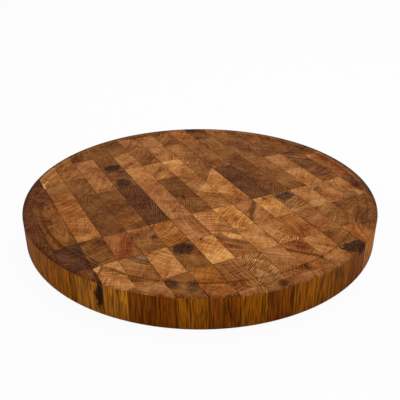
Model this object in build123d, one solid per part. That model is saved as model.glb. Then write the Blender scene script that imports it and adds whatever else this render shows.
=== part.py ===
from build123d import *

import os
from math import ceil, floor, sqrt

# Round end-grain chopping block, in millimetres. Z is up and the origin is the middle of the underside.
# The strips run along Y and lie side by side across X. +Y is the back, away from the viewer.

# The board as it is turned and sanded
board_diameter = 406.0
board_thickness = 38.0
top_rim_round = 2.5
bottom_rim_round = 3.0

# The juice groove, a ring with a round bottom near the rim of the top
groove_radius = 187.0
groove_width = 10.0
groove_depth = 2.0

# The glued-up blocks. Every strip is cut across at the same places, so that the joints form a grid.
strip_width = 25.7
block_length = 47.5

# Where the joints nearest the middle of the board lie, in X between two strips and in Y between two blocks
strip_joint_place = -8.1
block_joint_place = 0.7

# A block whose end would reach less than this past its last joint is left long and has no offcut after it.
smallest_offcut = 4.0

# How far the boxes that divide the board reach past it
cut_overrun = 10.0

board_radius = board_diameter / 2


def board_body():
    """The whole board in one piece: a disc with rounded rims and a groove, turned about Z."""
    section = Pos(board_radius / 2, board_thickness / 2) * Rectangle(board_radius, board_thickness)
    section = fillet(section.vertices().group_by(Axis.X)[-1].sort_by(Axis.Y)[0], bottom_rim_round)
    section = fillet(section.vertices().group_by(Axis.Y)[-1].sort_by(Axis.X)[-1], top_rim_round)
    groove_curve = (groove_width**2 / 4 + groove_depth**2) / (2 * groove_depth)
    groove_centre = board_thickness - groove_depth + groove_curve
    section -= Pos(groove_radius, groove_centre) * Circle(groove_curve)
    return revolve(Plane.XZ * section, Axis.Z)


def strip_joint(number):
    """X of a joint between two strips, counted from the one nearest the middle."""
    return strip_joint_place + number * strip_width


def block_joint(number):
    """Y of a joint between two blocks of a strip, counted from the one nearest the middle."""
    return block_joint_place + number * block_length


def strip_numbers():
    """Numbers of all the strips. Strip 0 lies on the +X side of the strip joint nearest the middle."""
    first = floor((-board_radius - strip_joint_place) / strip_width)
    last = ceil((board_radius - strip_joint_place) / strip_width)
    return range(first, last)


def block_joints(strip):
    """Numbers of the joints that cut a strip into blocks, from the front to the back."""
    nearest = max(strip_joint(strip), -strip_joint(strip + 1), 0)
    reach = max(sqrt(board_radius**2 - nearest**2) - smallest_offcut, 0)
    first = ceil((-reach - block_joint_place) / block_length)
    last = floor((reach - block_joint_place) / block_length)
    return range(first, last + 1)


def block(body, strip, row, joints):
    """One block of the board. The blocks at the ends of a strip run out to the rim."""
    front = block_joint(row) if row in joints else -board_radius - cut_overrun
    back = block_joint(row + 1) if row + 1 in joints else board_radius + cut_overrun
    middle = Pos(strip_joint(strip) + strip_width / 2, (front + back) / 2, board_thickness / 2)
    return body & middle * Box(strip_width, back - front, board_thickness + 2 * cut_overrun)


def paired(rows):
    """Splits rows into pairs. A row left over at the end goes with the pair before it."""
    pairs = [rows[place : place + 2] for place in range(0, len(rows), 2)]
    if len(pairs) > 1 and len(pairs[-1]) == 1:
        pairs[-2:] = [pairs[-2] + pairs[-1]]
    return pairs


def segments(joints):
    """Named groups of the rows of a strip: the pair at the middle joint, then pairs out to both ends."""
    rows = range(joints.start - 1, joints.stop)
    outward = {
        "back": [row for row in rows if row > 0],
        "front": [row for row in reversed(rows) if row < -1],
    }
    groups = {"middle": [row for row in rows if row in (-1, 0)]}
    for side, outer_rows in outward.items():
        if len(outer_rows) == 1:
            groups["middle"] += outer_rows
        else:
            groups.update(zip((side, side + "_end"), paired(outer_rows)))
    return groups


os.makedirs("parts", exist_ok=True)
whole = board_body()
blocks_volume = 0
for place, strip in enumerate(strip_numbers(), start=1):
    joints = block_joints(strip)
    for name, rows in segments(joints).items():
        solids = [solid for row in sorted(rows) for solid in block(whole, strip, row, joints).solids()]
        blocks_volume += sum(solid.volume for solid in solids)
        export_step(Compound(children=solids), f"parts/strip_{place:02d}_{name}.step")
print("volume of the blocks over the volume of the board:", blocks_volume / whole.volume)
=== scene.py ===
import math

import bpy
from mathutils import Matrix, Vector


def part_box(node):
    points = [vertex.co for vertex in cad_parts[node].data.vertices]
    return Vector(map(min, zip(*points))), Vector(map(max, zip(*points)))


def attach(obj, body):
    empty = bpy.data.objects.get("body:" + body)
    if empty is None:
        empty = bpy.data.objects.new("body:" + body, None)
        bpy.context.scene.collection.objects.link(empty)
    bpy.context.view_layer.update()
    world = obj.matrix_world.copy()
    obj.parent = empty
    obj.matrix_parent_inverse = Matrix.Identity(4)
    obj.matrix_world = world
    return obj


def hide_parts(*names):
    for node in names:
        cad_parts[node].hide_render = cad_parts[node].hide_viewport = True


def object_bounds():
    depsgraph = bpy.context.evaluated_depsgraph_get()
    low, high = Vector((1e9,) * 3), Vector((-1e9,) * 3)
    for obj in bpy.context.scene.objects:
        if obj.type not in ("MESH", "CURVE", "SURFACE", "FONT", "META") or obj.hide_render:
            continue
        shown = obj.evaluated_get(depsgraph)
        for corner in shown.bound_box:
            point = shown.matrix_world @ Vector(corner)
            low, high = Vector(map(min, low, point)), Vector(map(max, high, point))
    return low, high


# Round end-grain chopping block: 131 blocks of wood in 17 strips, turned to a disc with a groove.
# Metres, Z up, the middle of the underside at the origin. The strips run along Y, and +Y is the back.

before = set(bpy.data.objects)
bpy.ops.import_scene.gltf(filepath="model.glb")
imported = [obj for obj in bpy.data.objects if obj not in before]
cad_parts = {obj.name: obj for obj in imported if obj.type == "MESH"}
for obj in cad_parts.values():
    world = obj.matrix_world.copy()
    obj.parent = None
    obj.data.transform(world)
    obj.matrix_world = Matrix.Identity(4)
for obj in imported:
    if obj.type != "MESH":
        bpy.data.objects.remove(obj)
bpy.context.view_layer.update()
cadLow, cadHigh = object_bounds()
scene = bpy.context.scene
mm = 0.001


class Wire:
    # An output socket. Arithmetic on it adds Math nodes to its tree.
    def __init__(self, tree, socket):
        self.tree, self.socket = tree, socket

    def maths(self, operation, *others):
        return self.tree.maths(operation, self, *others)


def mathsOperator(operation, reflected=False):
    # The method of Wire that stands for one operator.
    def method(self, *others):
        values = (*others, self) if reflected else (self, *others)
        return self.tree.maths(operation, *values)
    return method


for sign, operation in {"add": "ADD", "sub": "SUBTRACT", "mul": "MULTIPLY", "truediv": "DIVIDE"}.items():
    setattr(Wire, f"__{sign}__", mathsOperator(operation))
    setattr(Wire, f"__r{sign}__", mathsOperator(operation, reflected=True))
for sign, operation in {"pow": "POWER", "gt": "GREATER_THAN", "lt": "LESS_THAN", "abs": "ABSOLUTE"}.items():
    setattr(Wire, f"__{sign}__", mathsOperator(operation))


class NodeTree:
    # Adds nodes to a shader tree or a geometry tree.
    def __init__(self, group):
        self.group = group

    def socket(self, sockets, key):
        if isinstance(key, int):
            return sockets[key]
        return next(s for s in sockets if s.enabled and key in (s.identifier, s.name))

    def add(self, kind, settings=None, inputs=None, output=0):
        # Any node: its settings, then the values or wires of its sockets. A list goes into one socket.
        node = self.group.nodes.new(kind)
        for name, value in (settings or {}).items():
            setattr(node, name, value)
        for key, value in (inputs or {}).items():
            target = self.socket(node.inputs, key)
            for one in value if isinstance(value, list) else [value]:
                if isinstance(one, Wire):
                    self.group.links.new(one.socket, target)
                else:
                    target.default_value = one
        return Wire(self, self.socket(node.outputs, output)) if node.outputs else node

    def more(self, wire, key):
        # Another output of the node that a wire comes from.
        return Wire(self, self.socket(wire.socket.node.outputs, key))

    def maths(self, operation, *values):
        return self.add("ShaderNodeMath", {"operation": operation}, dict(enumerate(values)))

    def vector(self, operation, *values):
        return self.add("ShaderNodeVectorMath", {"operation": operation}, dict(enumerate(values)))

    def scaled(self, vector, factor):
        return self.add("ShaderNodeVectorMath", {"operation": "SCALE"}, {"Vector": vector, "Scale": factor})

    def parts(self, vector):
        x = self.add("ShaderNodeSeparateXYZ", {}, {0: vector})
        return x, self.more(x, 1), self.more(x, 2)

    def joined(self, x, y, z):
        return self.add("ShaderNodeCombineXYZ", {}, {0: x, 1: y, 2: z})

    def attribute(self, name):
        return self.add("ShaderNodeAttribute", {"attribute_name": name}, {}, "Vector")

    def step(self, value, low, high):
        # 0 below low, 1 above high and a soft step between.
        inputs = {"Value": value, "From Min": low, "From Max": high}
        return self.add("ShaderNodeMapRange", {"interpolation_type": "SMOOTHSTEP"}, inputs)

    def mix(self, low, high, factor):
        inputs = {"Factor_Float": factor, "A_Color": low, "B_Color": high}
        return self.add("ShaderNodeMix", {"data_type": "RGBA"}, inputs, "Result_Color")

    def noise(self, vector, scale, detail=2.0, roughness=0.5):
        inputs = {"Vector": vector, "Scale": scale, "Detail": detail, "Roughness": roughness}
        return self.add("ShaderNodeTexNoise", {}, inputs, "Fac")


def shaderTree(owner):
    # The emptied shader tree of a material or of the world.
    owner.use_nodes = True
    owner.node_tree.nodes.clear()
    return NodeTree(owner.node_tree)


def geometryTree(name, inputs):
    # A geometry tree with named inputs, and its input wires by name.
    group = bpy.data.node_groups.new(name, "GeometryNodeTree")
    group.interface.new_socket("Geometry", in_out="OUTPUT", socket_type="NodeSocketGeometry")
    for socketName, socketType in inputs.items():
        group.interface.new_socket(socketName, in_out="INPUT", socket_type=f"NodeSocket{socketType}")
    tree = NodeTree(group)
    start = group.nodes.new("NodeGroupInput")
    return tree, {s.name: Wire(tree, s) for s in start.outputs if s.name}


def endTree(tree, wire, material):
    wire = tree.add("GeometryNodeRealizeInstances", {}, {"Geometry": wire})
    wire = tree.add("GeometryNodeSetMaterial", {}, {"Geometry": wire, "Material": material})
    tree.add("NodeGroupOutput", {}, {"Geometry": wire})


def placed(name, data):
    # A new object in the scene.
    thing = bpy.data.objects.new(name, data)
    scene.collection.objects.link(thing)
    return thing


def bakedObject(name, tree, values):
    # Runs a geometry tree with these values and keeps the result as a plain mesh.
    holder = placed(name, bpy.data.meshes.new(name))
    modifier = holder.modifiers.new(name, "NODES")
    modifier.node_group = tree.group
    for item in tree.group.interface.items_tree:
        if item.in_out == "INPUT":
            modifier[item.identifier] = values[item.name]
    evaluated = holder.evaluated_get(bpy.context.evaluated_depsgraph_get())
    mesh = bpy.data.meshes.new_from_object(evaluated)
    holder.modifiers.remove(modifier)
    holder.data = mesh
    return holder


# Camera, floor and light

cameraPlace = {
    "lens": 51.6,
    "distance": 603.1 * mm,  # from the board's axis, level
    "height": 347.7 * mm,
    "turn": -27.18,  # degrees round the board from the front
    "tilt": 61.88,  # degrees up from looking straight down
}


def addCamera():
    turn, tilt = math.radians(cameraPlace["turn"]), math.radians(cameraPlace["tilt"])
    distance = cameraPlace["distance"]
    camera = placed("camera", bpy.data.cameras.new("camera"))
    camera.data.lens = cameraPlace["lens"]
    camera.location = (distance * math.sin(turn), -distance * math.cos(turn), cameraPlace["height"])
    camera.rotation_euler = (tilt, 0, turn)
    scene.camera = camera


studio = {
    "floorSize": 6.0,
    "floorTone": 0.82,
    "floorGlow": 0.94,  # share of plain white in the floor that the camera sees, the rest takes shadow
    "skyTone": 0.92,
    "skyStrength": 0.62,
    "lampPower": 8.9,
    "lampSize": 1.1,
    "lampPlace": (0.4, 0.1, 1.35),
}


def grey(tone):
    return (tone, tone, tone, 1)


def addSky():
    # Plain white behind the board and in its gloss, and a soft light on it.
    scene.world = bpy.data.worlds.new("studio")
    t = shaderTree(scene.world)
    camera = t.add("ShaderNodeLightPath", {}, {}, "Is Camera Ray")
    glossy, through = t.more(camera, "Is Glossy Ray"), t.more(camera, "Is Transmission Ray")
    seen = camera.maths("MAXIMUM", glossy.maths("MAXIMUM", through))
    tone, strength = grey(studio["skyTone"]), studio["skyStrength"]
    light = t.add("ShaderNodeBackground", {}, {"Color": tone, "Strength": strength})
    backdrop = t.add("ShaderNodeBackground", {}, {"Color": grey(1), "Strength": 1.0})
    sky = t.add("ShaderNodeMixShader", {}, {0: seen, 1: light, 2: backdrop})
    t.add("ShaderNodeOutputWorld", {}, {"Surface": sky})


def addFloor():
    half = studio["floorSize"] / 2
    mesh = bpy.data.meshes.new("floor")
    corners = [(-half, -half, 0), (half, -half, 0), (half, half, 0), (-half, half, 0)]
    mesh.from_pydata(corners, [], [(0, 1, 2, 3)])
    floor = placed("floor", mesh)
    material = bpy.data.materials.new("floor")
    t = shaderTree(material)
    plain = t.add("ShaderNodeBsdfDiffuse", {}, {"Color": grey(studio["floorTone"])})
    glow = t.add("ShaderNodeEmission", {}, {"Color": grey(1), "Strength": 1.0})
    seen = t.add("ShaderNodeLightPath", {}, {}, "Is Camera Ray") * studio["floorGlow"]
    surface = t.add("ShaderNodeMixShader", {}, {0: seen, 1: plain, 2: glow})
    t.add("ShaderNodeOutputMaterial", {}, {"Surface": surface})
    mesh.materials.append(material)


def addLamp():
    lamp = placed("softbox", bpy.data.lights.new("softbox", "AREA"))
    lamp.data.energy = studio["lampPower"]
    lamp.data.size = studio["lampSize"]
    lamp.location = studio["lampPlace"]
    lamp.rotation_euler = (-Vector(studio["lampPlace"])).to_track_quat("-Z", "Y").to_euler()


addCamera()
addSky()
addFloor()
addLamp()
scene.view_settings.view_transform = "Standard"
print("camera, floor and light are in place")


# The grid that the blocks lie in, as the CAD has it

grid = {
    "middleStrip": 9,
    "smallestOffcut": 4.0 * mm,  # where wood reaches less than this past a joint, no block begins there
    "jointTolerance": 0.5 * mm,  # a run of blocks that ends this near a joint ends at the joint
    "smoothAngle": 30,
}
# This node has two blocks, on both sides of the joint nearest the middle.
middleLow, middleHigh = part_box("strip_09_middle")
stripWidth = middleHigh.x - middleLow.x
blockLength = (middleHigh.y - middleLow.y) / 2
blockJoint = (middleHigh.y + middleLow.y) / 2
boardRadius = (cadHigh.x - cadLow.x) / 2
boardThickness = cadHigh.z


def stripNumber(node):
    return int(node.split("_")[1])


def stripLeft(strip):
    return middleLow.x + (strip - grid["middleStrip"]) * stripWidth


# The section that the board is turned to

boardShape = {
    "topRound": 2.5 * mm,
    "bottomRound": 3.0 * mm,
    "grooveRadius": 187.0 * mm,
    "grooveWidth": 10.0 * mm,
    "grooveDepth": 2.0 * mm,
    "grooveEase": 0.4 * mm,  # how far the groove's edges are sanded round
    "flatMargin": 0.3 * mm,  # a narrow ring of flat beside each round, so that it shades flat
    "roundSteps": 7,
    "grooveSteps": 14,
    "turnSteps": 360,
    "mergeDistance": 0.005 * mm,
}


# The wood

woods = {  # tones of oiled end grain, sRGB 0 to 255
    "sunlit": (200, 133, 68),
    "amber": (183, 118, 61),
    "rose": (162, 101, 53),
    "honey": (171, 110, 56),
    "ginger": (156, 91, 36),
    "ochre": (150, 83, 20),
    "tan": (152, 93, 43),
    "hazel": (134, 80, 32),
    "russet": (142, 77, 32),
    "chestnut": (121, 70, 25),
    "umber": (110, 61, 20),
    "mahogany": (84, 39, 9),
    "jarrah": (99, 49, 17),
    "walnut": (86, 44, 13),
    "smoke": (88, 50, 30),
    "bog": (50, 22, 10),
    "ash": (150, 108, 70),
    "cream": (214, 158, 98),
    "straw": (171, 104, 27),  # from here on the long grain of the wall
    "olive": (150, 84, 6),
    "moss": (137, 75, 4),
    "peat": (127, 63, 3),
}

# Noises of the grain: how much of Z counts, where Z starts, scale per mm, detail and roughness.
# Wood is drawn out along its grain, so little of Z counts, and the wall shows upright streaks.
noises = {
    "broad": (0.05, 0.0, 0.035, 2.0, 0.5),
    "middling": (0.05, 0.0, 0.16, 2.0, 0.5),
    "fleck": (0.05, 0.0, 0.55, 2.0, 0.7),
    "fine": (0.03, 0.0, 1.3, 2.0, 0.6),
    "ragged": (0.6, 0.0, 0.2, 3.0, 0.6),
    "streak": (0.045, 0.0, 0.4, 3.0, 0.7),
    "hair": (0.06, 3.0, 1.1, 2.0, 0.5),
    "vein": (0.04, 7.0, 0.8, 1.0, 0.5),
}
swayLook = {"scale": 0.02, "reach": 5.0}  # a slow bend of the grain, per mm, and how far it goes, mm
seedSteps = {"x": 31.7, "y": 17.3, "gaps": 5.1, "tiers": 3.3}  # how far a block's seed moves each pattern

ringLook = {
    "sway": 3.0,  # mm
    "wander": {"broad": 6.0, "middling": 1.4},  # mm that each noise moves the rings
    "gapScale": 0.6,  # how soon the gaps between rings change, per ring
    "gapChange": 1.5,
    "lateEdge": 3.0,  # how sharply the late wood begins and ends
    "lateDark": 1.7,
    "tierStart": 4.0,
    "tierDark": 2.4,  # how much whole rings differ
    "fleckScales": (0.5, 0.035, 0.02),  # per mm across the rings, along them and up
    "fleckDetail": (4.0, 0.75),
}

rayLook = {
    "tone": "cream",
    "knotTone": "hazel",
    "wander": 0.8,
    "edges": (0.1, 0.9),
    "breakScales": (0.8, 0.07),  # per ray, and per mm along it
    "breakDetail": (2.0, 0.7),
    "breaks": (0.34, 0.55),
    "hidden": 0.7,  # share of a ray that a patch hides
    "leastReach": 10.0,  # mm, the rays round a nearer heart lie as if it were this far away
    "fleckScales": (0.08, 1.1),  # per mm across the rings and along them
    "fleckStart": 3.0,
}

patchLook = {
    "sway": 9.0,  # mm sideways, by the grain's bend
    "drift": 8.0,  # mm lengthways, by the broad noise
    "roughEdge": {"ragged": 1.2, "fleck": 0.5},
    "knotSmooth": 0.8,  # share of the rough edge that a knot doesn't have
    "slabRough": 0.4,  # mm of rough edge on a slab, past its blur
    "rayScales": (6.5, 0.8),  # round a knot, and outwards
    "rayDetail": (2.0, 0.6),
    "rayEdge": 0.15,  # how far a knot's rays move its edge
    "rays": (0.03, 0.13),
    "rayShare": 0.7,
}

toneLook = {
    "bandShare": 0.9,
    "pores": (0.08, 0.22),  # the fine noise that is a pore
    "poreDark": 0.28,
    "uneven": {"broad": 2.0, "middling": 0.9, "fleck": 0.6, "fine": 0.8},
    "ringFleck": (1.5, 2.5),  # strength, and how much it grows with the depth of the rings
    "rayFleck": (1.3, 2.5),
    "darkest": 0.1,
    "powers": (0.75, 1.15, 1.75),  # of red, green and blue: light grain is paler, dark grain is redder
}

wallLook = {
    "facing": (0.1, 0.4),  # how far a face looks up where the wall ends
    "uneven": {"streak": 2.6, "hair": 2.1, "fleck": 0.3},
    "veins": (0.04, 0.16),
    "veinDark": 0.6,
    "wallPaintedShade": 0.26,  # painted shade: how much darker the wall's foot is than its top
    "wallPaintedShadeFrom": (-195.0, -140.0),  # mm of X, left of which the painted shade turns round and the top is the darker
    "wallPaintedShadeTurned": 0.6,
    "darkest": 0.15,
    "slabShare": 0.35,
}

paintedShadeLook = {  # painted shade in the groove's corners and on the round of the rim
    "groovePaintedShade": 0.38,
    "grooveReach": 1.2,  # mm from each of its edges
    "grooveHeights": (10.0, 30.0),  # mm, none below
    "rimDepths": (6.0, 2.5),  # mm in from the wall, where it begins and is full
    "rimFacing": (0.2, 0.6),
    "rimLean": 0.5,  # how much X counts beside Y in where the rim's painted shade lies
    "rimFrom": (-140.0, 90.0),  # mm from the front, where the rim has the least painted shade, to the back, where it has the most
    "rimPaintedShade": 0.62,
    "rimPaintedShadeLeast": 0.1,
}

jointLook = {
    "dark": 0.8,
    "width": 0.9,  # mm on each side
    "patchScale": 0.05,
    "patchRise": 0.2,
    "patches": (0.3, 0.6),
    "leastShare": 0.35,  # of its darkness, where it is pale
}

surfaceLook = {
    "roughness": 0.55,
    "uneven": {"fine": 0.2, "fleck": 0.15},
    "refraction": 1.45,
    "shine": 0.034,
    "bump": 0.25,
    "bumpDepth": 0.3 * mm,
    "heights": {"fine": 0.6, "fleck": 0.5, "pores": -0.8, "joint": -1.0, "late": -0.2},
}


def linearTone(name):
    # A named wood as a linear colour.
    values = [value / 255 for value in woods[name]]
    return [v / 12.92 if v <= 0.04045 else ((v + 0.055) / 1.055) ** 2.4 for v in values]


class Grain:
    # The wires that make the wood: places in mm, noises, rings and rays, and what lies in a block.
    def __init__(self, t):
        self.t = t
        self.x, self.y, self.z = t.parts(t.scaled(t.add("ShaderNodeTexCoord", {}, {}, "Object"), 1 / mm))
        self.facing = abs(t.parts(t.add("ShaderNodeNewGeometry", {}, {}, "Normal"))[2])
        self.frontJoint, self.backJoint, self.midX = t.parts(t.attribute("joints"))
        self.rayTurns, self.rayDepth, self.seed = t.parts(t.attribute("rays"))
        bend = swayLook["scale"]
        bends = t.joined(self.x * bend, self.y * bend, self.z * bend + self.seed)
        self.sway = t.noise(bends, 1.0, 1.0) - 0.5
        x = self.x + self.seed * seedSteps["x"] + self.sway * swayLook["reach"]
        y = self.y + self.seed * seedSteps["y"]
        self.wires = {}
        for name, (rise, start, *settings) in noises.items():
            self.wires[name] = t.noise(t.joined(x, y, self.z * rise + start), *settings) - 0.5
        self.wires["pores"] = t.step(self.wires["fine"], *toneLook["pores"])
        self.grow()
        self.roughEdge = self.total(patchLook["roughEdge"])
        self.slab = self.slabMask()
        self.patches = [self.patch(name) for name in ("patch", "chip")]
        self.wires["joint"] = self.glueJoint()

    def total(self, shares):
        # The sum of the wires with these names, each times its share.
        return sum(self.wires[name] * share for name, share in shares.items())

    def grow(self):
        # Growth rings round the heart of the tree, and rays that run out from it.
        t, look = self.t, ringLook
        heartX, heartY, heartReach = t.parts(t.attribute("heart"))
        ringGap, self.ringDepth, squeeze = t.parts(t.attribute("rings"))
        dx = self.x + self.sway * look["sway"] - heartX
        dy = (self.y - heartY) * squeeze
        reach = (dx * dx + dy * dy).maths("SQRT")
        self.across = reach - heartReach + self.total(look["wander"])
        towardsX = self.midX - heartX
        towardsY = ((self.frontJoint + self.backJoint) * 0.5 - heartY) * squeeze
        turn = (dy * towardsX - dx * towardsY).maths("ARCTAN2", dx * towardsX + dy * towardsY)
        phase = self.across / ringGap
        gaps = t.joined(phase * look["gapScale"], self.seed * seedSteps["gaps"], 0.0)
        phase = phase + t.noise(gaps, 1.0, 1.0) * look["gapChange"]
        late = phase.maths("FRACT") ** look["lateEdge"]
        tiers = t.joined(phase, self.seed * seedSteps["tiers"], look["tierStart"])
        tier = t.noise(tiers, 1.0, 0.0) - 0.5
        self.ring = (late * look["lateDark"] + tier * look["tierDark"]) * self.ringDepth
        self.wires["late"] = late

        rayPlace = turn * self.rayTurns + self.wires["middling"] * rayLook["wander"]
        ray = t.step((rayPlace * (2 * math.pi)).maths("SINE"), *rayLook["edges"])
        perRay, perLength = rayLook["breakScales"]
        breaks = t.joined(rayPlace * perRay, self.across * perLength + self.seed, 0.0)
        unbroken = t.step(t.noise(breaks, 1.0, *rayLook["breakDetail"]), *rayLook["breaks"])
        self.ray = ray * unbroken * self.rayDepth

        around = turn * heartReach
        acrossScale, aroundScale, upScale = look["fleckScales"]
        flecks = t.joined(self.across * acrossScale, around * aroundScale, self.seed + self.z * upScale)
        self.wires["ringFleck"] = t.noise(flecks, 1.0, *look["fleckDetail"]) - 0.5
        acrossScale, aroundScale = rayLook["fleckScales"]
        start = self.seed + rayLook["fleckStart"]
        flecks = t.joined(self.across * acrossScale, around * aroundScale, start)
        self.wires["rayFleck"] = t.noise(flecks, 1.0) - 0.5

    def patch(self, name):
        # Where one patch of a block lies, a knot, a figure or a chip, and its tone.
        t, look = self.t, patchLook
        placeX, placeY, turn = t.parts(t.attribute(name + "Place"))
        long, short, knotty = t.parts(t.attribute(name + "Size"))
        middle, depth, edge = t.parts(t.attribute(name + "Depth"))
        dx = self.x - placeX + self.sway * look["sway"]
        dy = self.y - placeY + self.wires["broad"] * look["drift"]
        cosine, sine = turn.maths("COSINE"), turn.maths("SINE")
        along = (dx * cosine + dy * sine) / long
        aside = (dy * cosine - dx * sine) / short
        up = (self.z - middle) / depth
        reach = (along * along + aside * aside + up * up).maths("SQRT")
        roundScale, outScale = look["rayScales"]
        outwards = reach * outScale + self.seed
        rays = t.joined(along / reach * roundScale, aside / reach * roundScale, outwards)
        ray = t.noise(rays, 1.0, *look["rayDetail"]) - 0.5
        reach = reach + self.roughEdge * (1.0 - knotty * look["knotSmooth"]) + ray * look["rayEdge"]
        mask = 1.0 - t.step(reach, 1.0 - edge, 1.0 + edge)
        rayShare = t.step(ray, *look["rays"]) * knotty * look["rayShare"]
        return mask, t.mix(t.attribute(name + "Tone"), (*linearTone(rayLook["knotTone"]), 1), rayShare)

    def slabMask(self):
        # A straight-edged part of a block: a stripe, a crack or a whole corner.
        t = self.t
        placeX, placeY, turn = t.parts(t.attribute("slabPlace"))
        width, blur, share = t.parts(t.attribute("slabForm"))
        inside = (self.x - placeX) * turn.maths("COSINE") + (self.y - placeY) * turn.maths("SINE")
        inside = inside + self.roughEdge * (blur + patchLook["slabRough"])
        return t.step(inside, 0.0 - blur, blur) * (1.0 - t.step(inside, width - blur, width + blur)) * share

    def glueJoint(self):
        # The lines along a block's four sides, as dark as its seams say and paler in patches.
        t, look = self.t, jointLook
        leftSeam, rightSeam, endSeam = t.parts(t.attribute("seams"))
        fromMiddle, half = self.x - self.midX, stripWidth / mm / 2
        place = t.joined(self.x, self.y, self.z * look["patchRise"])
        patchy = t.step(t.noise(place, look["patchScale"]), *look["patches"])
        joint = 0.0
        for edge, strength in (
            (half + fromMiddle, leftSeam),
            (half - fromMiddle, rightSeam),
            (abs(self.y - self.frontJoint), endSeam),
            (abs(self.y - self.backJoint), endSeam),
        ):
            line = 1.0 - t.step(edge, 0.0, strength * look["width"])
            joint = (line * strength.maths("MINIMUM", 1.0)).maths("MAXIMUM", joint)
        least = look["leastShare"]
        return joint * (patchy * (1 - least) + least)

    def topTone(self):
        # The block's own tone, then a band along its rings, a slab, patches, rays, and last rings and pores.
        t, look = self.t, toneLook
        bandFrom, bandTo, blur = t.parts(t.attribute("band"))
        band = t.step(self.across, bandFrom - blur, bandFrom + blur)
        band = band * (1.0 - t.step(self.across, bandTo - blur, bandTo + blur))
        band = band * (self.wires["fleck"] + look["bandShare"])
        tone = t.mix(t.attribute("tone"), t.attribute("bandTone"), band)
        tone = t.mix(tone, t.attribute("slabTone"), self.slab)
        ray = self.ray
        for mask, patchTone in self.patches:
            tone = t.mix(tone, patchTone, mask)
            ray = ray * (1.0 - mask * rayLook["hidden"])
        tone = t.mix(tone, (*linearTone(rayLook["tone"]), 1), ray)
        uneven = self.total(look["uneven"]) + 1.0
        for name, depth in (("ringFleck", self.ringDepth), ("rayFleck", self.rayDepth)):
            least, growth = look[name]
            uneven = uneven + self.wires[name] * (depth * growth + least)
        light = (1.0 - self.ring) * (1.0 - self.wires["pores"] * look["poreDark"]) * uneven
        light = light.maths("MAXIMUM", look["darkest"])
        return t.vector("MULTIPLY", tone, t.joined(*[light ** power for power in look["powers"]]))

    def wallTone(self):
        # The wall, where the grain runs upright along the face, with painted shade from its top to its foot.
        t, look = self.t, wallLook
        vein = t.step(self.wires["vein"], *look["veins"])
        # painted shade: darker towards the wall's foot, and towards its top at the far left
        turned = look["wallPaintedShadeTurned"]
        wallPaintedShade = (t.step(self.x, *look["wallPaintedShadeFrom"]) * (1 + turned) - turned) * look["wallPaintedShade"]
        light = (self.total(look["uneven"]) + 1.0) * (1.0 - vein * look["veinDark"])
        light = light * ((self.z / (boardThickness / mm) - 0.5) * wallPaintedShade + 1.0)
        tone = t.scaled(t.attribute("wallTone"), light.maths("MAXIMUM", look["darkest"]))
        tone = t.mix(tone, t.attribute("slabTone"), self.slab * look["slabShare"])
        for mask, patchTone in self.patches:
            tone = t.mix(tone, patchTone, mask)
        return tone

    def paintedShadeFactor(self):
        # How much of the tone the painted shade leaves, along the groove's edges and on the rim's round.
        t, look = self.t, paintedShadeLook
        radius = (self.x * self.x + self.y * self.y).maths("SQRT")
        edge = abs(abs(radius - boardShape["grooveRadius"] / mm) - boardShape["grooveWidth"] / mm / 2)
        # painted shade: darker lines along the groove's two edges on the top
        groove = 1.0 - t.step(edge, 0.0, look["grooveReach"])
        groove = groove * t.step(self.z, *look["grooveHeights"]) * look["groovePaintedShade"]
        # painted shade on the rim's round, faint at the front and strong at the back and right
        rimEdges = [boardRadius / mm - depth for depth in look["rimDepths"]]
        rim = t.step(radius, *rimEdges) * t.step(self.facing, *look["rimFacing"])
        side = t.step(self.x * look["rimLean"] + self.y, *look["rimFrom"])
        rim = rim * (side * look["rimPaintedShade"] + look["rimPaintedShadeLeast"])
        return (1.0 - groove) * (1.0 - rim)


def endGrainMaterial():
    material = bpy.data.materials.new("oiled end grain")
    t = shaderTree(material)
    grain, look = Grain(t), surfaceLook
    wallShare = 1.0 - t.step(grain.facing, *wallLook["facing"])
    # the tone times the painted shade of the groove and the rim
    tone = t.scaled(t.mix(grain.topTone(), grain.wallTone(), wallShare), grain.paintedShadeFactor())
    tone = t.scaled(tone, 1.0 - grain.wires["joint"] * jointLook["dark"])
    bump = t.add("ShaderNodeBump", {}, {
        "Height": grain.total(look["heights"]),
        "Strength": look["bump"],
        "Distance": look["bumpDepth"],
    })
    shader = t.add("ShaderNodeBsdfPrincipled", {}, {
        "Base Color": tone,
        "Roughness": grain.total(look["uneven"]) + look["roughness"],
        "Normal": bump,
        "IOR": look["refraction"],
        "Specular IOR Level": look["shine"],
    })
    t.add("ShaderNodeOutputMaterial", {}, {"Surface": shader})
    return material


wood = endGrainMaterial()
print("the wood is made")


# The board as it is turned, with its groove


def arc(middle, radius, first, last, steps):
    # Points of an arc in the section, by angles in degrees.
    angles = [math.radians(first + (last - first) * step / steps) for step in range(steps + 1)]
    return [(middle[0] + radius * math.cos(a), middle[1] + radius * math.sin(a)) for a in angles]


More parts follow.
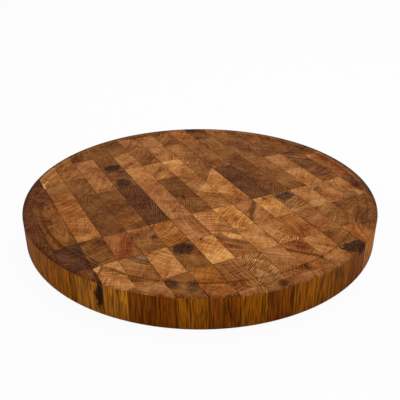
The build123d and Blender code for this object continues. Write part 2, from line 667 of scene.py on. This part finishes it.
def boardSection():
    # Radius and height of the section's points, from the flat underside round the rim to the flat top.
    s = boardShape
    steps, margin, ease = s["roundSteps"], s["flatMargin"], s["grooveEase"]
    low, high = s["bottomRound"], s["topRound"]
    points = [(boardRadius - low - margin, 0.0)]
    points += arc((boardRadius - low, low), low, -90, 0, steps)
    points.append((boardRadius, low + margin))
    points.append((boardRadius, boardThickness - high - margin))
    points += arc((boardRadius - high, boardThickness - high), high, 0, 90, steps)
    points.append((boardRadius - high - margin, boardThickness))
    curve = (s["grooveWidth"] ** 2 / 4 + s["grooveDepth"] ** 2) / (2 * s["grooveDepth"])
    centre = boardThickness - s["grooveDepth"] + curve
    rise = boardThickness - ease - centre
    aside = math.sqrt((curve + ease) ** 2 - rise**2)
    slope = math.degrees(math.atan2(rise, aside))
    outer = (s["grooveRadius"] + aside, boardThickness - ease)
    inner = (s["grooveRadius"] - aside, boardThickness - ease)
    points.append((outer[0] + margin, boardThickness))
    points += arc(outer, ease, 90, 180 + slope, steps // 2)
    points += arc((s["grooveRadius"], centre), curve, slope, -180 - slope, s["grooveSteps"])[1:-1]
    points += arc(inner, ease, -slope, 90, steps // 2)
    points.append((inner[0] - margin, boardThickness))
    return points


def sectionCurve(points):
    curve = bpy.data.curves.new("section", "CURVE")
    spline = curve.splines.new("POLY")
    spline.points.add(len(points) - 1)
    for point, (radius, height) in zip(spline.points, points):
        point.co = (radius - boardRadius, -height, 0, 1)
    return placed("section", curve)


def turnedTree():
    # The section turned about Z, with flat faces over its ends.
    inputs = {"Section": "Object", "Board Radius": "Float", "Turn Steps": "Int"}
    inputs.update({"Top Radius": "Float", "Top Height": "Float", "Bottom Radius": "Float"})
    t, given = geometryTree("turned board", inputs)

    def circle(radius):
        inputs = {"Resolution": given["Turn Steps"], "Radius": radius}
        return t.add("GeometryNodeCurvePrimitiveCircle", {}, inputs)

    section = t.add("GeometryNodeObjectInfo", {}, {"Object": given["Section"]}, "Geometry")
    inputs = {"Curve": circle(given["Board Radius"]), "Profile Curve": section}
    swept = t.add("GeometryNodeCurveToMesh", {}, inputs)
    swept = t.add("GeometryNodeFlipFaces", {}, {"Mesh": swept})
    top = t.add("GeometryNodeFillCurve", {"mode": "NGONS"}, {"Curve": circle(given["Top Radius"])})
    height = t.joined(0.0, 0.0, given["Top Height"])
    top = t.add("GeometryNodeTransform", {}, {"Geometry": top, "Translation": height})
    bottom = t.add("GeometryNodeFillCurve", {"mode": "NGONS"}, {"Curve": circle(given["Bottom Radius"])})
    bottom = t.add("GeometryNodeFlipFaces", {}, {"Mesh": bottom})
    joined = t.add("GeometryNodeJoinGeometry", {}, {"Geometry": [swept, top, bottom]})
    inputs = {"Geometry": joined, "Distance": boardShape["mergeDistance"]}
    endTree(t, t.add("GeometryNodeMergeByDistance", {}, inputs), wood)
    return t


sectionPoints = boardSection()
section = sectionCurve(sectionPoints)
blank = bakedObject("blank", turnedTree(), {
    "Section": section,
    "Board Radius": boardRadius,
    "Turn Steps": boardShape["turnSteps"],
    "Top Radius": sectionPoints[-1][0],
    "Top Height": boardThickness,
    "Bottom Radius": sectionPoints[0][0],
})
print("the board is turned", len(blank.data.polygons), [round(v, 5) for v in blank.dimensions])


# The blocks, cut out of the turned board strip by strip


def stripTree():
    # A run of blocks of one strip. Each is where a box meets the turned board, and keeps its row number.
    # The boxes are twice as high as the board, and the first and last one can reach past its rim.
    floats = ("Left", "Front", "Width", "Length", "Height", "Front Reach", "Back Reach")
    inputs = {"Board": "Object", **dict.fromkeys(floats, "Float"), "Blocks": "Int", "First Row": "Int"}
    t, given = geometryTree("strip of blocks", inputs)
    board = t.add("GeometryNodeObjectInfo", {}, {"Object": given["Board"]}, "Geometry")
    start = t.group.nodes.new("GeometryNodeRepeatInput")
    finish = t.group.nodes.new("GeometryNodeRepeatOutput")
    start.pair_with_output(finish)
    t.group.links.new(given["Blocks"].socket, start.inputs["Iterations"])
    step, made = Wire(t, start.outputs["Iteration"]), Wire(t, start.outputs["Geometry"])
    isFirst, isLast = step < 0.5, step > given["Blocks"] - 1.5
    front = given["Front"] + given["Length"] * step - given["Front Reach"] * isFirst
    back = given["Front"] + given["Length"] * (step + 1.0) + given["Back Reach"] * isLast
    size = t.joined(given["Width"], back - front, given["Height"] * 2.0)
    middle = t.joined(given["Left"] + given["Width"] * 0.5, (front + back) * 0.5, given["Height"] * 0.5)
    box = t.add("GeometryNodeMeshCube", {}, {"Size": size})
    box = t.add("GeometryNodeTransform", {}, {"Geometry": box, "Translation": middle})
    settings = {"operation": "INTERSECT", "solver": "MANIFOLD"}
    block = t.add("GeometryNodeMeshBoolean", settings, {"Mesh 2": [board, box]})
    settings = {"data_type": "INT", "domain": "FACE"}
    inputs = {"Geometry": block, "Name": "row", "Value": given["First Row"] + step}
    block = t.add("GeometryNodeStoreNamedAttribute", settings, inputs)
    joined = t.add("GeometryNodeJoinGeometry", {}, {"Geometry": [made, block]})
    t.group.links.new(joined.socket, finish.inputs["Geometry"])
    endTree(t, Wire(t, finish.outputs["Geometry"]), wood)
    return t


def stripPiece(node, tree):
    # The blocks of one CAD node, as one piece.
    low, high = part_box(node)
    offcut, tolerance = grid["smallestOffcut"], grid["jointTolerance"]
    first = math.ceil((low.y + offcut - blockJoint) / blockLength) - 1
    last = math.floor((high.y - offcut - blockJoint) / blockLength)
    front, back = blockJoint + first * blockLength, blockJoint + (last + 1) * blockLength
    piece = bakedObject(node.replace("strip", "blocks"), tree, {
        "Board": blank,
        "Left": stripLeft(stripNumber(node)),
        "Front": front,
        "Width": stripWidth,
        "Length": blockLength,
        "Height": boardThickness,
        "Front Reach": 0.0 if abs(low.y - front) < tolerance else blockLength,
        "Back Reach": 0.0 if abs(high.y - back) < tolerance else blockLength,
        "Blocks": last - first + 1,
        "First Row": first,
    })
    piece.data.shade_smooth()
    piece.data.set_sharp_from_angle(angle=math.radians(grid["smoothAngle"]))
    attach(piece, "root")
    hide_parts(node)
    return piece


def blockRows(piece):
    # The row of each of its faces.
    return [item.value for item in piece.data.attributes["row"].data]


tree = stripTree()
pieces = {node: stripPiece(node, tree) for node in sorted(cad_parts)}
for helper in (blank, section):
    bpy.data.objects.remove(helper)
print("the blocks are cut", sum(len(piece.data.polygons) for piece in pieces.values()), "faces")


# What each block looks like

farOff = 999  # mm, so far from a block that it has none of what lies there

plainLook = {
    "squeeze": 1.0,  # less than 1 for rings that are drawn out along the strip
    "rings": 0.35,
    "rays": 0.2,
    "rayGap": 1.7,
    "band": ("chestnut", farOff, farOff + 1, 1),  # tone, then from, to and blur, mm past the block's middle
    "patch": ("bog", 0, farOff, 1, 1, 0, 0),  # tone, x, y, half length, half width, turn, share of rays
    "patchDepth": (38, 14, 0.3),  # height of its middle, half its depth, softness of its edge
    "chip": ("sunlit", 0, farOff, 1, 1, 0, 0),
    "chipDepth": (38, 6, 0.15),
    # tone, x, y, the way it lies from there, width (99 goes to the block's far side), blur, share
    "slab": ("umber", 0, farOff, 0, 1, 1, 0),
    "seams": (0.9, 0.9, 0.7),  # how dark the glue joints are on its left, on its right and at its ends
}

# How blocks without a figure of their own differ, by a number from their strip and row
byPlace = {
    "strides": (7, 11),
    "heartReach": 70,  # mm from the middle of the block
    "heartTurn": 137.5,  # degrees for each number
    "ringGaps": (2.0, 2.4, 2.8, 3.2, 3.6),
    "walls": ("olive", "peat", "olive"),
    "seedStrides": (7, 3),
    "seedCount": 23,
    "seedGap": 0.61,
}

# The wood of each strip's blocks, from the back to the front
stripWoods = {
    1: "jarrah jarrah jarrah jarrah",
    2: "mahogany jarrah hazel hazel smoke umber",
    3: "hazel honey hazel ginger ginger chestnut amber tan",
    4: "tan tan chestnut umber umber russet tan rose",
    5: "chestnut rose rose umber chestnut hazel amber hazel",
    6: "chestnut chestnut chestnut mahogany mahogany ginger hazel ochre hazel",
    7: "hazel chestnut honey amber rose rose rose sunlit tan rose",
    8: "hazel rose hazel honey umber chestnut amber tan hazel hazel",
    9: "chestnut rose honey amber tan tan sunlit amber rose rose",
    10: "umber chestnut tan hazel amber amber rose ginger ginger tan",
    11: "umber ginger hazel hazel walnut walnut sunlit ginger honey tan",
    12: "umber hazel chestnut umber umber hazel tan hazel",
    13: "tan chestnut hazel hazel hazel honey hazel ginger",
    14: "chestnut hazel chestnut rose honey rose chestnut chestnut",
    15: "hazel chestnut umber umber honey chestnut",
    16: "umber umber chestnut russet chestnut umber",
    17: "umber umber",
}

# What stands out in single blocks, by strip and row. Row 0 lies behind the joint nearest the middle.
figures = {
    (2, 1): {"heart": (-60, -50), "rings": 0.4, "gap": 4.0},
    (2, 0): {
        "heart": (4, -23), "squeeze": 0.2, "rings": 0.3, "gap": 2.5, "rays": 0.06,
        "band": ("umber", 4.6, 8, 0.6),
    },
    (2, -1): {
        "heart": (4, 23), "squeeze": 0.2, "rings": 0.3, "gap": 2.5, "rays": 0.06,
        "band": ("umber", 4.6, 8, 0.6),
    },
    (2, -2): {
        "heart": (10, 40), "rings": 0.35, "rays": 0.06, "patch": ("bog", 7, 9, 9, 1.2, -65, 0.4),
        "chip": ("chestnut", -6, -6, 10, 0.8, 40, 0), "chipDepth": (38, 9, 0.6), "wall": "olive",
    },
    (2, -3): {"patch": ("bog", 12, 8, 14, 5.5, 85, 0), "patchDepth": (23, 20, 0.3), "wall": "straw"},
    (3, 2): {"heart": (90, -70), "rings": 0.3, "chip": ("cream", -11, -20, 6, 2.5, 80, 0)},
    (3, 1): {
        "heart": (-20, 120), "rings": 0.2, "band": ("ginger", 12, 99, 8),
        "chip": ("cream", -12, 23, 3, 2.5, 80, 0),
    },
    (3, 0): {"heart": (-48, 132), "rings": 0.25},
    (3, -1): {"heart": (-85, -150), "rings": 0.2, "rays": 0.4, "slab": ("sunlit", 0, -8, -80, 99, 8, 0.5)},
    (3, -2): {
        "heart": (-20, 90), "rings": 0.3, "chip": ("bog", -9, -12, 9, 0.8, -70, 0),
        "patch": ("walnut", -10, 21, 6, 4, -30, 0),
    },
    (3, -3): {
        "heart": (60, 90), "rings": 0.25, "chip": ("cream", -12, 23, 8, 6, 50, 0),
        "patch": ("hazel", 7, 8, 14, 1.5, -55, 0), "slab": ("bog", -3, 24, -36, 1.2, 0.4, 0.8),
        "wall": "straw",
    },
    (3, -4): {"wall": "peat"},
    (4, 2): {
        "heart": (-90, 60), "slab": ("umber", -6, -23, -51, 99, 1, 0.5),
        "chip": ("bog", 4, -15, 12, 0.7, 39, 0),
    },
    (4, 1): {
        "heart": (90, -40), "rings": 0.2, "slab": ("sunlit", -3, -18.5, 132, 1, 0.5, 0.5),
        "chip": ("ash", 8, -19, 4, 1.6, 20, 0), "chipDepth": (38, 9, 0.5), "seams": (1.2, 0.9, 0.9),
    },
    (4, 0): {"rings": 0.2, "slab": ("mahogany", -13, 0, 0, 5, 3, 0.6)},
    (4, -1): {"heart": (140, 20), "rings": 0.2, "slab": ("mahogany", -13, 0, 0, 6, 3, 0.6)},
    (4, -2): {"heart": (113, -41), "rings": 0.25},
    (4, -3): {
        "heart": (60, 90), "patch": ("ash", 10.5, 19, 5, 3, -50, 0.8), "patchDepth": (38, 14, 0.5),
        "chip": ("bog", 5, 13, 13, 0.7, -52, 0), "slab": ("smoke", -2.8, 23, 38, 99, 0.6, 0.8),
    },
    (4, -4): {"rings": 0.15, "wall": "peat"},
    (5, 3): {"heart": (-60, 20), "rings": 0.35},
    (5, 2): {"heart": (60, -72), "rings": 0.25},
    (5, 1): {"heart": (80, -45), "rings": 0.25},
    (5, 0): {"heart": (-90, -100), "rings": 0.2},
    (5, -1): {"heart": (-40, 90), "rings": 0.25, "gap": 2.6, "slab": ("ginger", 0, 2, -80, 14, 2, 0.6)},
    (5, -2): {
        "heart": (-20, -50), "rays": 0.25, "rayGap": 1.8, "slab": ("rose", 0, 13, 67, 99, 1, 1),
        "chip": ("mahogany", 7, 0, 5, 3, 40, 0.5), "chipDepth": (38, 9, 0.5),
    },
    (5, -3): {"heart": (80, 60), "rings": 0.2},
    (5, -4): {
        "rings": 0.3, "patch": ("smoke", -8, 14, 7, 7, 0, 0.7), "chip": ("smoke", 7, 3, 9, 6, 60, 0.9),
        "chipDepth": (38, 9, 0.4),
    },
    (6, 3): {"slab": ("russet", -12, 16, 0, 6, 3, 0.6)},
    (6, 2): {"patch": ("bog", 2, -13, 11, 9, 0, 0.6)},
    (6, 1): {"patch": ("bog", 0, -11, 10, 10, 0, 0.6)},
    (6, 0): {"heart": (-30, -60), "rings": 0.2},
    (6, -1): {"heart": (-5, -28), "rays": 0.25, "rayGap": 1.6, "rings": 0.25},
    (6, -2): {
        "heart": (-22, 38), "gap": 3.2, "rings": 0.45, "rays": 0.3,
        "slab": ("ochre", 0, -3, -80, 99, 5, 0.6), "seams": (1.5, 0.9, 0.8),
    },
    (6, -3): {
        "heart": (2, 14), "rings": 0.15, "rays": 0.2, "rayGap": 1.2,
        "patch": ("bog", 1, 13, 11.5, 10.5, 0, 0.7), "seams": (1.3, 1.3, 1),
    },
    (6, -4): {
        "heart": (-70, -60), "rings": 0.25, "slab": ("russet", 0, -7, -115, 99, 1, 0.6),
        "chip": ("amber", 1, -4, 13, 0.9, -25, 0), "chipDepth": (38, 9, 0.5), "wall": "peat",
    },
    (6, -5): {"wall": "peat"},
    (7, 2): {"heart": (-57, 82), "rings": 0.3, "gap": 4.0, "seams": (1.5, 0.9, 0.8)},
    (7, 1): {"heart": (-57, 82), "rings": 0.25, "gap": 4.5, "seams": (1.5, 0.9, 0.8)},
    (7, 0): {"heart": (70, -75), "rings": 0.3, "gap": 2.2},
    (7, -1): {"heart": (-50, -85), "rings": 0.15, "rays": 0.45, "rayGap": 2.0},
    (7, -2): {"heart": (170, -10), "rings": 0.25, "gap": 1.6},
    (7, -3): {
        "heart": (-80, -60), "rings": 0.15, "slab": ("hazel", 0, 3, 56, 1.6, 0.8, 0.6),
        "chip": ("umber", -2, 21, 3, 1.5, 70, 0),
    },
    (7, -4): {"heart": (150, 10), "rings": 0.35},
    (7, -5): {"rings": 0.15},
    (8, 3): {"heart": (-70, 60), "rings": 0.3},
    (8, 2): {"heart": (-60, 50), "patch": ("chestnut", 2, -1, 20, 9, 58, 0), "patchDepth": (38, 14, 0.5)},
    (8, 1): {
        "heart": (-60, 50), "rings": 0.35, "slab": ("chestnut", -2, 2, -46, 6, 2, 0.6),
        "chip": ("sunlit", 1, -13, 14, 2.5, 45, 0), "chipDepth": (38, 9, 0.4),
    },
    (8, 0): {"heart": (-20, -40), "rings": 0.3},
    (8, -1): {"heart": (-50, -85), "rings": 0.25, "rays": 0.3, "rayGap": 2.2},
    (8, -2): {
        "heart": (-25, -45), "rays": 0.3, "rayGap": 1.6, "slab": ("rose", 0.5, -8, -40, 99, 0.8, 0.7),
        "chip": ("sunlit", 5, -1, 10, 2.6, 50, 0), "chipDepth": (38, 9, 0.5),
    },
    (8, -3): {
        "heart": (60, 70), "rings": 0.25, "slab": ("umber", 0.7, 0.7, 45, 5.5, 1.2, 0.85),
        "chip": ("sunlit", 4.5, 13.5, 11, 5, -52, 0), "chipDepth": (38, 9, 0.3),
        "patch": ("chestnut", -3, -6, 9, 3, -45, 0.3), "seams": (1.5, 0.9, 0.8),
    },
    (8, -4): {"heart": (-79, -49), "rays": 0.75, "rayGap": 2.0, "rings": 0.15, "band": ("honey", 1, 9, 2)},
    (8, -5): {"rings": 0.15, "patch": ("mahogany", 6, 17, 6, 5, 0, 0.3)},
    (9, 1): {"heart": (60, -72), "rings": 0.15, "chip": ("cream", -10, 20, 3, 1.5, 20, 0)},
    (9, 0): {"heart": (-60, 70), "rings": 0.2, "slab": ("amber", 0, -20, -45, 99, 0.8, 0.9)},
    (9, -1): {
        "heart": (-142, -140), "rings": 0.25, "band": ("amber", 13, 999, 1),
        "slab": ("hazel", -5, 23, 224, 8, 2, 0.8),
    },
    (9, -2): {"heart": (60, -72), "rings": 0.25, "gap": 3.0},
    (9, -3): {"heart": (60, 80), "rings": 0.15},
    (9, -4): {"heart": (60, 80), "rings": 0.2, "rays": 0.08},
    (9, -5): {"rings": 0.12, "rays": 0.1},
    (10, 3): {"heart": (-60, 50), "rings": 0.45, "gap": 3.0, "band": ("ginger", -4, 2, 3)},
    (10, 1): {"chip": ("cream", -8.6, 8, 1.2, 1.8, 0, 0)},
    (10, 0): {
        "heart": (-150, -132), "rings": 0.2, "slab": ("hazel", -2.3, 7.2, 144, 99, 0.8, 0.9),
        "patch": ("cream", -12, -22, 2, 1, 30, 0), "chip": ("sunlit", -2.3, 6.5, 15, 0.8, 54, 0),
        "chipDepth": (38, 9, 0.4),
    },
    (10, -1): {
        "heart": (-146, -137), "rings": 0.2, "slab": ("hazel", -10, 7, 218, 99, 0.6, 0.5),
        "chip": ("sunlit", 0, -5.6, 16, 0.9, -52, 0), "chipDepth": (38, 9, 0.4),
    },
    (10, -2): {
        "heart": (-50, 60), "rings": 0.2, "slab": ("mahogany", -4, 1, -39, 5, 1, 0.8),
        "chip": ("cream", -11, -22, 3, 1, 0, 0), "seams": (1.5, 0.9, 0.8),
    },
    (10, -3): {
        "heart": (28, 9), "rays": 0.68, "rayGap": 1.9, "rings": 0.15, "band": ("honey", 6, 13, 2),
        "seams": (1.5, 0.9, 0.8),
    },
    (10, -4): {
        "heart": (-60, -50), "slab": ("mahogany", -1.6, -1.4, 42, 4, 0.8, 0.9),
        "patch": ("russet", 5, 12, 8, 6, -48, 0.3), "patchDepth": (38, 14, 0.6),
        "chip": ("umber", -12, -19, 6, 5, 0, 0), "chipDepth": (38, 9, 0.4),
    },
    (10, -5): {"rings": 0.15},
    (11, 3): {
        "heart": (70, -70), "rings": 0.4, "patch": ("amber", -3, 13, 8, 6, 90, 0),
        "patchDepth": (38, 14, 0.6),
    },
    (11, 2): {"heart": (150, 0), "rings": 0.35},
    (11, 1): {"heart": (150, 0), "rings": 0.35},
    (11, 0): {"rings": 0.2, "rays": 0.2},
    (11, -1): {"rings": 0.2, "rays": 0.2},
    (11, -2): {
        "heart": (-60, 50), "rings": 0.15, "gap": 3.2, "slab": ("honey", 0, 2, -60, 99, 2, 0.6),
        "patch": ("umber", 0, 18, 4, 2.5, 100, 0),
    },
    (11, -3): {"heart": (-80, 10), "rings": 0.3},
    (11, -4): {
        "heart": (60, 60), "rings": 0.15, "rays": 0.08, "slab": ("chestnut", -10, 12, 48, 1.4, 0.8, 0.5),
    },
    (11, -5): {"rings": 0.15, "wall": "moss"},
    (12, 3): {"patch": ("bog", -3, 17, 15, 8, -20, 0.2)},
    (12, 1): {"slab": ("umber", 0, -6, -100, 99, 4, 0.8)},
    (12, -2): {
        "heart": (-60, -35), "rings": 0.15, "rays": 0.7, "rayGap": 2.0,
        "patch": ("bog", 0, 15, 13, 10, 0, 0.5), "patchDepth": (38, 14, 0.3), "seams": (1.8, 1.4, 1),
    },
    (12, -3): {"heart": (60, 30), "rings": 0.3, "seams": (1.8, 0.9, 0.8)},
    (12, -4): {
        "patch": ("bog", 1, -12, 14, 10.5, 8, 0.6), "patchDepth": (38, 10, 0.15),
        "chip": ("bog", 12.9, -14, 3.2, 1.4, -30, 0), "chipDepth": (24, 24, 0.4), "seams": (1.8, 1.8, 0.8),
    },
    (13, 1): {"heart": (-60, 30), "rings": 0.35},
    (13, 0): {"heart": (-70, 20), "rings": 0.2},
    (13, -2): {"heart": (-60, 50), "rings": 0.15},
    (13, -3): {
        "heart": (60, -72), "rings": 0.3, "slab": ("umber", -14, 2, -61, 9, 1.5, 0.6),
        "chip": ("umber", -6, 4, 6, 3, 30, 0.3), "chipDepth": (38, 9, 0.6),
    },
    (13, -4): {"wall": "straw"},
    (14, 0): {"heart": (-25, -60), "rings": 0.3, "gap": 5.0},
    (14, -1): {
        "heart": (-50, 60), "rings": 0.2, "gap": 3.0, "slab": ("chestnut", -6, -22, -52, 1.6, 0.8, 0.7),
    },
    (14, -2): {
        "heart": (-60, 60), "rings": 0.2, "patch": ("ash", -6, 18, 13, 4.5, 42, 0.7),
        "chip": ("walnut", -10, 11, 6, 1, 45, 0),
    },
    (14, -4): {"wall": "straw"},
    (15, 0): {"heart": (-70, -70), "gap": 8.0, "rings": 0.4, "slab": ("mahogany", 2, -10, -60, 99, 3, 0.6)},
    (15, -1): {"heart": (30, -90), "gap": 8.0, "rings": 0.45, "slab": ("tan", 0, -11, -105, 99, 2, 0.8)},
    (15, -2): {"heart": (80, -20), "gap": 4.0, "rings": 0.2, "slab": ("chestnut", -6, -5, 225, 99, 2, 0.8)},
    (16, 1): {"patch": ("bog", 8, -18, 8, 4, 60, 0.2)},
    (16, 0): {"slab": ("ginger", 0, 8, -90, 99, 8, 0.7)},
    (16, -2): {"slab": ("mahogany", -10, 0, 10, 9, 3, 0.7)},
}


def blockLook(strip, row, backRow):
    # The look of one block: what its place in the grid gives it, and then its own figure.
    perStrip, perRow = byPlace["strides"]
    number = strip * perStrip + row * perRow
    away = math.radians(number * byPlace["heartTurn"])
    gaps, walls = byPlace["ringGaps"], byPlace["walls"]
    look = {
        "tone": stripWoods[strip].split()[backRow - row],
        "heart": (byPlace["heartReach"] * math.cos(away), byPlace["heartReach"] * math.sin(away)),
        "gap": gaps[number % len(gaps)],
        "wall": walls[number % len(walls)],
    }
    return {**plainLook, **look, **figures.get((strip, row), {})}


def faceLook(strip, row, look):
    # What the wood reads on the faces of one block, three numbers by each name.
    midX = (stripLeft(strip) + stripWidth / 2) / mm
    front, back = (blockJoint + row * blockLength) / mm, (blockJoint + (row + 1) * blockLength) / mm
    midY = (front + back) / 2
    heartX, heartY = look["heart"]
    heartReach = math.hypot(heartX, heartY * look["squeeze"])
    perStrip, perRow = byPlace["seedStrides"]
    seed = (strip * perStrip + row * perRow) % byPlace["seedCount"] * byPlace["seedGap"]
    bandTone, *band = look["band"]
    slabTone, slabX, slabY, slabTurn, *slabForm = look["slab"]
    face = {
        "heart": (midX + heartX, midY + heartY, heartReach),
        "rings": (look["gap"], look["rings"], look["squeeze"]),
        "rays": (max(heartReach, rayLook["leastReach"]) / look["rayGap"], look["rays"], seed),
        "band": band,
        "slabPlace": (midX + slabX, midY + slabY, math.radians(slabTurn)),
        "slabForm": slabForm,
        "joints": (front, back, midX),
        "seams": look["seams"],
        "tone": linearTone(look["tone"]),
        "bandTone": linearTone(bandTone),
        "slabTone": linearTone(slabTone),
        "wallTone": linearTone(look["wall"]),
    }
    for name in ("patch", "chip"):
        tone, x, y, long, short, turn, knotty = look[name]
        face[name + "Place"] = (midX + x, midY + y, math.radians(turn))
        face[name + "Size"] = (long, short, knotty)
        face[name + "Depth"] = look[name + "Depth"]
        face[name + "Tone"] = linearTone(tone)
    return face


def writeLooks(strip, piece, backRow):
    # Writes the looks of a piece's blocks on its faces, for the wood to read.
    rows = blockRows(piece)
    faces = {row: faceLook(strip, row, blockLook(strip, row, backRow)) for row in set(rows)}
    for name in faces[rows[0]]:
        attribute = piece.data.attributes.new(name, "FLOAT_VECTOR", "FACE")
        attribute.data.foreach_set("vector", [value for row in rows for value in faces[row][name]])


backRows = {}  # the row of each strip's block at the back
for node, piece in pieces.items():
    strip, rows = stripNumber(node), blockRows(piece)
    backRows[strip] = max(backRows.get(strip, rows[0]), *rows)
for node, piece in pieces.items():
    writeLooks(stripNumber(node), piece, backRows[stripNumber(node)])
print("each block has its look")
